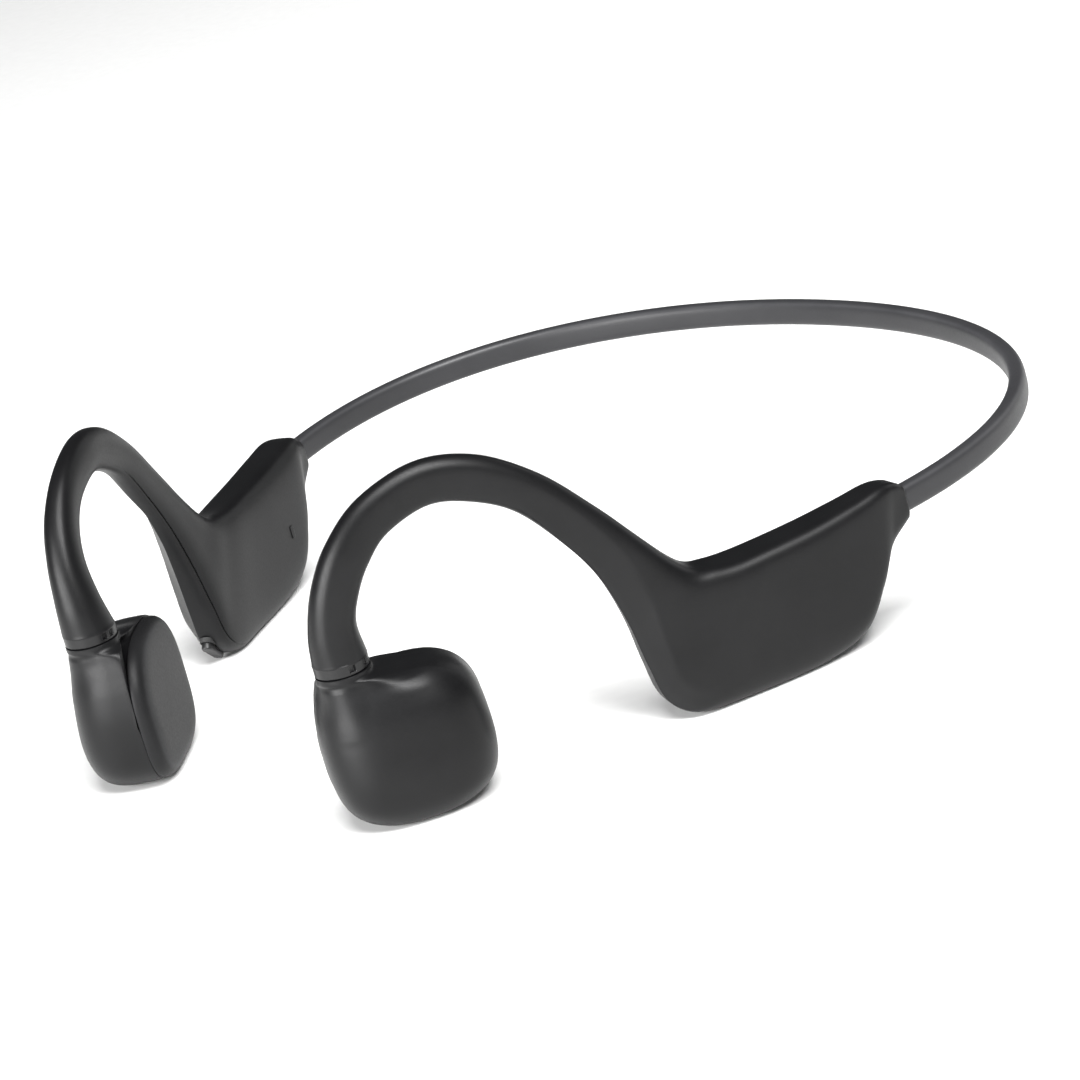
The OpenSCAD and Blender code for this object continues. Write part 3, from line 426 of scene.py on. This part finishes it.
def makeSkins():
    last = len(skin["stations"]) - 1
    t = np.linspace(0, last, last * skin["rowsPerStation"] + 1)
    angle = seamColumns(skin["columns"])
    local = skinSurface(t, angle)
    local = inwards(local, seamCut(angle, t))
    # A quarter-round rim at the collar and another at the rear end.
    bends = np.linspace(0, 1, 5)[1:] * math.pi / 2
    start, end = local[0], local[-1]
    startMiddle, endMiddle = start.mean(axis=0), end.mean(axis=0)
    (pulled, drop), (rearPulled, rearReach) = skin["collarRim"], skin["rearRim"]
    startRim = [start + (startMiddle - start) * pulled * (1 - math.cos(bend)) for bend in bends]
    for ring, bend in zip(startRim, bends):
        ring[:, 2] = start[:, 2] + drop * (1 - math.sin(bend))
    endRim = [end + (endMiddle - end) * rearPulled * (1 - math.cos(bend)) for bend in bends]
    for ring, bend in zip(endRim, bends):
        ring[:, 1] = end[:, 1] + rearReach * math.sin(bend)
    lifted = local.copy()
    lifted[0, :, 2] += drop
    local = np.concatenate([np.stack(startRim[::-1]), lifted, np.stack(endRim)])
    # Painted highlight: lighter colour along the top outer ridge and the lower outer edge, from the hook's
    # crown onwards.
    edge = sum(strength * np.exp(-((angle - middle) / spread) ** 2)
               for middle, spread, strength in skin["highlightAngles"])
    rows = np.arange(local.shape[0])
    paintedHighlight = np.tile(edge, (len(rows), 1)) * smoothStep(*skin["highlightRows"], rows)[:, None]
    for side in ("left", "right"):
        piece = gridMesh(side + "HookAndPodSkin", mirrored(arcToFrame(local), side), wrap=True,
                         capStart=True, capEnd=True, attributes={"paintedHighlight": paintedHighlight})
        dress(piece, skinElastomer, "soft_touch_black", side + "_side",
              side + "_hook_skin", side + "_pod_shell", side + "_pod_cover")


makeSkins()
print("hook and pod skins made")

# Rows: height, front and rear reach, inner and outer reach, squareness inside and outside.
housing = {
    "stations": [
        [23.7, -4, 4, -4, 4, 2, 2],
        [22.9, -4, 4.5, -4.3, 4, 2.1, 2.1],
        [22.4, -4.05, 8.2, -5.3, 4.05, 2.4, 2.2],
        [21.9, -4.2, 11, -6.1, 4.15, 3.2, 2.3],
        [20.8, -4.45, 13.8, -6.5, 4.45, 5, 2.4],
        [19, -4.95, 16, -6.6, 5.1, 6.5, 2.5],
        [16, -5.6, 17.5, -6.6, 6, 7.5, 2.6],
        [12, -6, 18, -6.6, 6.6, 8, 2.7],
        [7.5, -5.9, 18, -6.6, 7, 8, 2.7],
        [4, -5.2, 17.2, -6.5, 6.6, 7, 2.7],
        [1.8, -3.7, 15.4, -6.2, 5.7, 5, 2.6],
        [0.5, -1.4, 12.6, -5.3, 4.4, 3.4, 2.4],
        [0, 1.2, 9.6, -3.6, 2.4, 2.4, 2.2],
    ],
    "rowsPerStation": 14,
    "columns": 260,
    "innerRadius": 4.0,
    "padPlane": -4.75,            # the cheek pad covers all beyond this
    "padJoin": 0.25,
    "rim": 0.12,
    "heldRound": (23.9, 21.5),    # heights over which the neck's round rim gives way to the presses
    "highlightBand": (20.5, 1.3),      # height and spread of the painted highlight along the shoulder
    "neck": ((0, 0, 24.5), (0.3, 0.6, 15.0), 3.7, 5.0, 0.6),   # ends, radii and softness
    "saddle": ((4.6, 8.6, 27.2), (-3.0, 9.4, 26.8), 5.9, 4.3, 2.4),
    "notch": ((-6.6, 1.2, 23.2), (-5.2, -5.8, 11.0), 3.4, 0.3, 1.0),
}


def housingSurface(t, angle):
    # Sections carried down the stations. Each is a superellipse drawn by its polar angle, squarer
    # towards the head than outside; angle 0 is the outer face and 90 the rear.
    row = splineRows(housing["stations"], t)[:, None, :]
    a = np.radians(angle)[None, :]
    outer = np.cos(a) >= 0
    power = np.where(outer, row[..., 6], row[..., 5])
    ray = (np.abs(np.cos(a)) ** power + np.abs(np.sin(a)) ** power) ** (-1 / power)
    widest = row[..., 3] + housing["innerRadius"]
    reach = np.where(outer, row[..., 4] - widest, housing["innerRadius"])
    w = widest + np.cos(a) * ray * reach
    s = (row[..., 1] + row[..., 2]) / 2 + np.sin(a) * ray * (row[..., 2] - row[..., 1]) / 2
    w = -smoothMin(-w, np.full_like(w, -housing["padPlane"]), housing["padJoin"])
    return np.stack([w, s, row[..., 0] + 0 * w], axis=-1)


def dented(points, dent):
    # Moves points that are nearer to a tapered rod's axis than its radius straight away from the
    # axis to that radius, with a softened brim: a hollow where the axis lies outside the surface,
    # a swelling where it lies inside.
    start, end, startRadius, endRadius, softness = dent
    start, end = np.array(start), np.array(end)
    along = np.clip(((points - start) @ (end - start)) / ((end - start) @ (end - start)), 0, 1)
    nearest = start + along[..., None] * (end - start)
    way = points - nearest
    distance = np.linalg.norm(way, axis=-1)
    radius = startRadius + (endRadius - startRadius) * along
    pushed = -smoothMin(-distance, -radius, softness)
    return nearest + way / distance[..., None] * pushed[..., None]


def makeHousings():
    last = len(housing["stations"]) - 1
    t = np.linspace(0, last, last * housing["rowsPerStation"] + 1)
    angle = np.linspace(0, 360, housing["columns"], endpoint=False)
    local = housingSurface(t, angle)
    held = smoothStep(*housing["heldRound"], local[..., 2:3])
    shaped = local
    for press in ("neck", "saddle", "notch"):
        shaped = dented(shaped, housing[press])
    local = local + (shaped - local) * held
    rim = local[:1].copy()
    rim[..., :2] *= 1 - housing["rim"] / housing["innerRadius"]
    local[0, :, 2] -= housing["rim"]
    local = np.concatenate([rim, local])
    world = straightFrame(0.0, local)
    # Painted highlight: a lighter band along the outer shoulder.
    height, spread = housing["highlightBand"]
    paintedHighlight = np.exp(-((local[..., 2] - height) / spread) ** 2) * (local[..., 0] > 2)
    for side in ("left", "right"):
        piece = gridMesh(side + "TransducerHousing", mirrored(world, side), wrap=True, capStart=True,
                         capEnd=True, attributes={"paintedHighlight": paintedHighlight})
        dress(piece, skinElastomer, "soft_touch_black", side + "_transducer",
              side + "_transducer_housing")


makeHousings()
print("transducer housings made")

pad = {
    "middle": (6.0, 10.95), "columns": 220,
    "squareness": (3.45, 2.85, 2.5),   # below, rear top, front top
    # Rings from the seam over the soft bevel: across the head, half width and half height.
    "rings": [(-4.7, 11.75, 10.5), (-4.82, 12.0, 10.76), (-5.0, 12.04, 10.8), (-5.4, 12.0, 10.77),
              (-5.9, 11.84, 10.66), (-6.3, 11.58, 10.42), (-6.65, 11.2, 10.08), (-6.92, 10.7, 9.62),
              (-7.08, 10.15, 9.1), (-7.17, 9.5, 8.45), (-7.22, 8.7, 7.7)],
    # The last pair gives depth and spread of the painted highlight on the bevel rim.
    "faceRings": 9, "crown": 0.08, "highlightBand": (-6.95, 0.15),
}


def makePads():
    # Superellipse rings: over the bevel first, then shrinking to the middle of a barely crowned face.
    turn = np.linspace(0, 2 * math.pi, pad["columns"], endpoint=False)
    below, rearTop, frontTop = pad["squareness"]
    power = np.where(np.sin(turn) < 0, below, np.where(np.cos(turn) > 0, rearTop, frontTop))
    ray = (np.abs(np.cos(turn)) ** power + np.abs(np.sin(turn)) ** power) ** (-1 / power)
    lastW, lastS, lastZ = pad["rings"][-1]
    inner = [(lastW - pad["crown"] * (1 - k * k), lastS * k, lastZ * k)
             for k in np.linspace(0.92, 0.06, pad["faceRings"])]
    rings = np.array(pad["rings"] + inner)
    local = np.stack([
        np.repeat(rings[:, 0:1], len(turn), axis=1),
        pad["middle"][0] + np.cos(turn) * ray * rings[:, 1:2],
        pad["middle"][1] + np.sin(turn) * ray * rings[:, 2:3],
    ], axis=-1)
    # Painted highlight: a thin lighter line on the bevel rim.
    depth, spread = pad["highlightBand"]
    paintedHighlight = np.tile(np.exp(-((rings[:, 0:1] - depth) / spread) ** 2), (1, len(turn)))
    world = straightFrame(0.0, local)
    for side in ("left", "right"):
        piece = gridMesh(side + "CheekPad", mirrored(world, side), wrap=True, capStart=True,
                         capEnd=True, attributes={"paintedHighlight": paintedHighlight})
        dress(piece, padSilicone, "pad_rubber", side + "_transducer", side + "_cheek_pad")


makePads()
print("cheek pads made")

collar = {"radius": 3.96, "windowDepth": 0.55, "windowTurns": (18, 57, 202, 222),
          "windowWidth": 0.9, "windowHeight": 0.9, "windowEdge": 0.05, "columns": 420, "rim": 0.14}


def inWindow(distance, half):  # 1 within half a window's size, falling to 0 over its soft edge
    return 1 - smoothStep(half - collar["windowEdge"], half + collar["windowEdge"], distance)


def makeCollars():
    # A turned ring with quarter-round rims, its radius pressed in at each window.
    low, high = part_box("left_swivel_collar")
    bottom, top = low.z / mm, high.z / mm
    heights = np.concatenate([np.linspace(bottom, bottom + 0.3, 7),
                              np.linspace(bottom + 0.34, top - 0.34, 26),
                              np.linspace(top - 0.3, top, 7)])
    turn = np.linspace(-math.pi, math.pi, collar["columns"], endpoint=False)
    middle = (bottom + top) / 2
    rim = collar["rim"]
    edge = np.minimum(heights - bottom, top - heights)
    rounding = np.where(edge < rim, rim - np.sqrt(np.maximum(rim ** 2 - (rim - edge) ** 2, 0)), 0)
    radius = collar["radius"] - rounding[:, None] + 0 * turn[None, :]
    for window in collar["windowTurns"]:
        away = (turn - math.radians(window) + math.pi) % (2 * math.pi) - math.pi
        across = inWindow(np.abs(away) * collar["radius"], collar["windowWidth"] / 2)
        upright = inWindow(np.abs(heights - middle), collar["windowHeight"] / 2)
        radius = radius - collar["windowDepth"] * upright[:, None] * across[None, :]
    local = np.stack([radius * np.cos(turn), radius * np.sin(turn),
                      np.repeat(heights[:, None], len(turn), axis=1)], axis=-1)
    world = straightFrame(0.0, local)
    for side in ("left", "right"):
        piece = gridMesh(side + "SwivelCollar", mirrored(world, side), wrap=True, capStart=True,
                         capEnd=True)
        dress(piece, collarPolycarbonate, "gloss_black", side + "_side", side + "_swivel_collar")


makeCollars()
print("swivel collars made")

band = {"height": 4.0, "thickness": 2.7, "squareness": 3.4, "exitZ": 17.8, "rise": 1.6,
        "exitHandle": 37.0, "backHandle": 43.5, "exitTurn": 4.0, "rows": 420, "columns": 40,
        "overrun": 0.004, "highlightBand": (1.75, 0.25),   # height from the middle and spread of the painted highlight along the upper and lower edges
        "bendReach": 0.9}
bandLow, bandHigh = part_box("band_sleeve")
backY = bandHigh.y / mm - band["thickness"] / 2


def bandCurve(t):
    # Cubic Bezier from the left pod to the middle of the back (t 0 to 1), mirrored for the rest.
    start = onArc(0.0, sideArc["length"], band["exitZ"])
    heading = math.radians(sideArc["toeRear"] - band["exitTurn"])
    handles = np.array([
        start,
        start + np.array([band["exitHandle"] * math.sin(heading), band["exitHandle"] * math.cos(heading),
                          band["rise"] * 0.7]),
        [band["backHandle"], backY, band["exitZ"] + band["rise"]],
        [0.0, backY, band["exitZ"] + band["rise"]],
    ])
    u = np.where(t <= 1, t, 2 - t)[:, None]
    place = ((1 - u) ** 3 * handles[0] + 3 * (1 - u) ** 2 * u * handles[1]
             + 3 * (1 - u) * u * u * handles[2] + u ** 3 * handles[3])
    place[:, 0] = np.where(t <= 1, place[:, 0], -place[:, 0])
    return place


def makeBand():
    # A superellipse section carried along the curve, level, with its wide side upright.
    t = np.clip(np.linspace(-band["overrun"], 2 + band["overrun"], band["rows"]), 0.0, 2.0)
    path = bandCurve(t)
    way = np.gradient(path, axis=0)
    sideways = np.stack([way[:, 1], -way[:, 0], 0 * way[:, 0]], axis=-1)
    sideways /= np.linalg.norm(sideways, axis=1, keepdims=True)
    turn = np.linspace(0, 2 * math.pi, band["columns"], endpoint=False)
    power = 2 / band["squareness"]
    across = signedPower(np.cos(turn), power) * band["thickness"] / 2
    upward = signedPower(np.sin(turn), power) * band["height"] / 2
    grid = path[:, None, :] + sideways[:, None, :] * across[None, :, None]
    grid[..., 2] += upward[None, :]
    # Painted highlight: lighter lines along the upper and lower edges.
    height, spread = band["highlightBand"]
    paintedHighlight = np.tile(np.exp(-((np.abs(upward) - height) / spread) ** 2), (len(t), 1))
    piece = gridMesh("bandSleeve", grid, wrap=True, capStart=True, capEnd=True,
                     attributes={"paintedHighlight": paintedHighlight})
    piece.data.materials.append(bandSilicone)
    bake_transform(piece)
    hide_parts("band_sleeve", "band_core", "band_leads")


makeBand()
print("band made")

button = {"s": 43.4, "z": 2.6, "tilt": 40.0, "length": 5.6, "width": 1.8, "out": 0.8, "gap": 0.05,
          "edge": 0.2, "columns": 96}


def ovalRings(rings, columns):
    # Oval outline grown by each ring's first value, at the height of its second.
    turn = np.linspace(0, 2 * math.pi, columns, endpoint=False)
    run = (button["length"] - button["width"]) / 2
    radius = button["width"] / 2
    grow, height = np.array(rings, float).T[:, :, None]
    reach = radius + grow
    return np.stack([reach * np.cos(turn),
                     reach * np.sin(turn) + run * np.sign(np.sin(turn) + 1e-9),
                     height + 0 * turn], axis=-1)


def buttonFrame(local):  # the button's own axes (height outwards) to (w, s, z), then to the frame
    tilt = math.radians(button["tilt"])
    w, along, height = local[..., 0], local[..., 1], -local[..., 2]
    s = along * math.cos(tilt) + height * math.sin(tilt)
    z = -along * math.sin(tilt) + height * math.cos(tilt)
    toe = float(toeAt(button["s"]))
    origin = onArc(0.0, button["s"], button["z"])
    x = origin[0] + w * math.cos(toe) + s * math.sin(toe)
    y = origin[1] - w * math.sin(toe) + s * math.cos(toe)
    return np.stack([x, y, origin[2] + z], axis=-1)


def makeButton():
    edge, top = button["edge"], button["out"]
    bend = np.linspace(0, math.pi / 2, 7)
    rings = [(-0.4, -1.6), (-button["gap"], -1.6)] + [
        (-button["gap"] - edge * (1 - math.cos(b)), top - edge + edge * math.sin(b)) for b in bend]
    rings += [(-0.5, top + 0.01), (-0.7, top + 0.015)]
    cap = gridMesh("powerButtonCap", mirrored(buttonFrame(ovalRings(rings, button["columns"])), "right"),
                   wrap=True, capStart=True, capEnd=True)
    dress(cap, buttonAbs, "button_plastic", "power_button", "power_button")
    lip = [(0.26, -1.0), (0.22, -0.3), (0.16, -0.24), (0.1, -0.24), (0.05, -0.3), (0.03, -1.0)]
    surround = gridMesh("powerButtonLip", mirrored(buttonFrame(ovalRings(lip, button["columns"])), "right"),
                        wrap=True)
    dress(surround, slotMaterials["seal_rubber"], "seal_rubber", "right_side", "power_button_seal")


makeButton()
print("power button made")

window = {"s": 71.2, "z": 9.8, "width": 0.9, "height": 2.1, "proud": 0.06, "squareness": 4.0}
contacts = {"s": 62.0, "z": 12.5, "spacing": 3.2, "pinRadius": 0.7, "plateRadius": 1.3,
            "plateProud": 0.05, "squareness": 3.0}
podFace = -4.3  # w of the pods' inner faces


def onInnerFace(s0, y, z, proud):  # points on the pod's inner face, proud of it
    local = np.stack(np.broadcast_arrays(podFace - proud, y, z), axis=-1)
    return straightFrame(s0, local)


def ovalOnFace(s0, z0, halfS, halfZ, proud, squareness):
    # Crowned oval lens: rings shrink towards the middle as they rise.
    turn = np.linspace(0, 2 * math.pi, 72, endpoint=False)[None, :]
    share = np.array([1.0, 1.0, 0.97, 0.9, 0.75, 0.5, 0.25])[:, None]
    lift = np.array([-0.5, 0.4, 0.75, 0.92, 1.0, 1.0, 1.0])[:, None] * proud
    power = 2 / squareness
    y = signedPower(np.cos(turn), power) * halfS * share
    z = z0 + signedPower(np.sin(turn), power) * halfZ * share
    return onInnerFace(s0, y, z, lift)


def makeDetails():
    oval = ovalOnFace(window["s"], window["z"], window["width"] / 2, window["height"] / 2,
                      window["proud"], window["squareness"])
    lens = gridMesh("statusWindow", mirrored(oval, "right"), wrap=True, capStart=True, capEnd=True)
    dress(lens, slotMaterials["light_diffuser"], "light_diffuser", "right_side", "light_pipe")
    oval = ovalOnFace(contacts["s"], contacts["z"], contacts["spacing"] / 2 + contacts["plateRadius"],
                      contacts["plateRadius"], contacts["plateProud"], contacts["squareness"])
    plate = gridMesh("contactPlate", oval, wrap=True, capStart=True, capEnd=True)
    dress(plate, slotMaterials["inner_plastic"], "inner_plastic", "left_side", "pin_carrier")
    for k, way in enumerate((-1, 1)):
        turn = np.linspace(0, 2 * math.pi, 48, endpoint=False)[None, :]
        share = np.array([1.0, 1.0, 0.96, 0.85, 0.6, 0.3])[:, None]
        lift = np.array([-0.2, 0.06, 0.09, 0.1, 0.1, 0.1])[:, None]
        y = way * contacts["spacing"] / 2 + np.cos(turn) * contacts["pinRadius"] * share
        z = contacts["z"] + np.sin(turn) * contacts["pinRadius"] * share
        pin = gridMesh("contactPin" + str(k + 1), onInnerFace(contacts["s"], y, z, lift + 0 * turn),
                       wrap=True, capStart=True, capEnd=True)
        dress(pin, slotMaterials["gold_plate"], "gold_plate", "left_side",
              *(("charging_pins",) if k == 0 else ()))


makeDetails()
print("small details made")

studio = {
    "floorColours": ("f0f0ef", "f3f3f2"), "floorReach": 6.0, "floorLines": 24, "floorGrain": 400.0,
    "world": "dfe2e6", "worldStrength": 0.12,
    "lamps": {  # azimuth, elevation, distance, size, power in watts
        "key": (0, 13, 1.0, 0.7, 20.0),
        "top": (62, 60, 1.2, 0.8, 22.0),
        "fill": (172, 18, 1.1, 0.8, 1.5),
        "side": (74, 42, 1.1, 0.3, 6.5),
    },
}
view = {"azimuth": 49.087, "elevation": 19.267, "roll": -15.770, "distance": 0.70828, "lens": 164.09,
        "aim": (0.023587, -0.02161, 0.0229)}


def directionTo(azimuth, elevation):
    a, e = math.radians(azimuth), math.radians(elevation)
    return Vector((math.sin(a) * math.cos(e), -math.cos(a) * math.cos(e), math.sin(e)))


def makeStudio():
    reach = studio["floorReach"]
    line = np.linspace(-reach, reach, studio["floorLines"]) / mm
    x, y = np.meshgrid(line, line, indexing="ij")
    floor = gridMesh("floor", np.stack([x, y, np.full_like(x, -0.02)], axis=-1))
    if floor.data.polygons[0].normal.z < 0:
        floor.data.flip_normals()
    material = bpy.data.materials.new("paleFloor")
    material.use_nodes = True
    tree = material.node_tree
    shader = tree.nodes["Principled BSDF"]
    noise = addNode(tree, "ShaderNodeTexNoise", {"Scale": studio["floorGrain"], "Detail": 3.0},
                    {"Vector": addNode(tree, "ShaderNodeTexCoord").outputs["Object"]})
    tone = addNode(tree, "ShaderNodeValToRGB", {}, {"Fac": noise.outputs["Fac"]})
    dark, light = studio["floorColours"]
    rampStops(tone, [(0.3, linear(dark)), (0.7, linear(light))])
    tree.links.new(tone.outputs["Color"], shader.inputs["Base Color"])
    shader.inputs["Roughness"].default_value = 0.9
    floor.data.materials.append(material)
    world = bpy.data.worlds.new("studioWorld")
    world.use_nodes = True
    back = world.node_tree.nodes["Background"]
    back.inputs["Color"].default_value = linear(studio["world"])
    back.inputs["Strength"].default_value = studio["worldStrength"]
    bpy.context.scene.world = world
    for name, (azimuth, elevation, distance, size, power) in studio["lamps"].items():
        lamp = bpy.data.lights.new(name + "Softbox", "AREA")
        lamp.shape, lamp.size, lamp.energy = "DISK", size, power
        holder = bpy.data.objects.new(name + "Softbox", lamp)
        way = directionTo(azimuth, elevation)
        holder.location = way * distance
        holder.rotation_mode = "QUATERNION"
        holder.rotation_quaternion = (-way).to_track_quat("-Z", "Y")
        bpy.context.scene.collection.objects.link(holder)


def makeCamera():
    back = directionTo(view["azimuth"], view["elevation"])
    a = math.radians(view["azimuth"])
    right = Vector((math.cos(a), math.sin(a), 0))
    up = back.cross(right)
    r = math.radians(view["roll"])
    rolledRight = right * math.cos(r) + up * math.sin(r)
    rolledUp = up * math.cos(r) - right * math.sin(r)
    camera = bpy.data.objects.new("camera", bpy.data.cameras.new("camera"))
    camera.data.sensor_width = 36
    camera.data.lens = view["lens"]
    camera.data.clip_start, camera.data.clip_end = 0.05, 20
    turn = Matrix((rolledRight, rolledUp, back)).transposed().to_4x4()
    camera.matrix_world = Matrix.Translation(Vector(view["aim"]) + back * view["distance"]) @ turn
    bpy.context.scene.collection.objects.link(camera)
    bpy.context.scene.camera = camera


makeStudio()
makeCamera()
bpy.context.scene.view_settings.view_transform = "Standard"
print("studio set")
